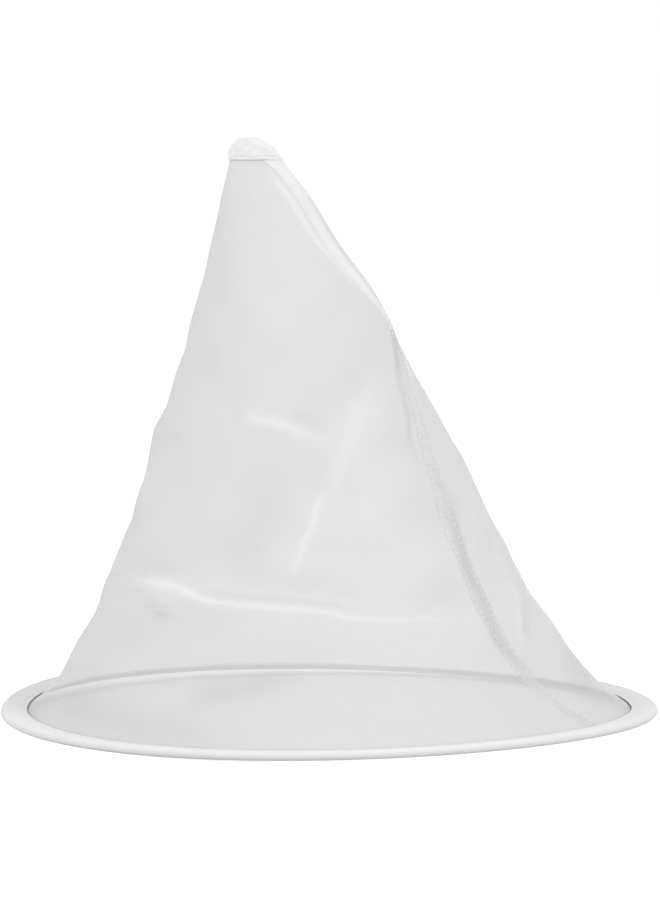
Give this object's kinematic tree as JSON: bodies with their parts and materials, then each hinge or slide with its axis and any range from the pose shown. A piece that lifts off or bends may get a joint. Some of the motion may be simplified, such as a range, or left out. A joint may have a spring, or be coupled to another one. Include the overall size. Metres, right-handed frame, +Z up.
{
  "type": "honey filter cloth",
  "caption": "Cone of fine woven filter cloth with a felled side seam, its mouth bound over a round spring wire hoop, standing mouth down with its point leaning over.",
  "frame": {"origin": "centre of the rim's underside, on the surface that the filter stands on", "axes": "+Z up from the rim to the point, +X to the right as the filter is seen first, -Y towards that viewer, the point leans towards -X"},
  "size_m": [0.3, 0.3, 0.2635],
  "materials": {
    "filter_cloth": "fine translucent nylon mesh, matt with a faint sheen",
    "binding_tape": "plain woven tape, matt",
    "spring_wire": "drawn wire, satin"
  },
  "bodies": {
    "root": {"filter_cone": "filter_cloth", "rim_binding": "binding_tape", "rim_hoop": "spring_wire"}
  },
  "joints": []
}
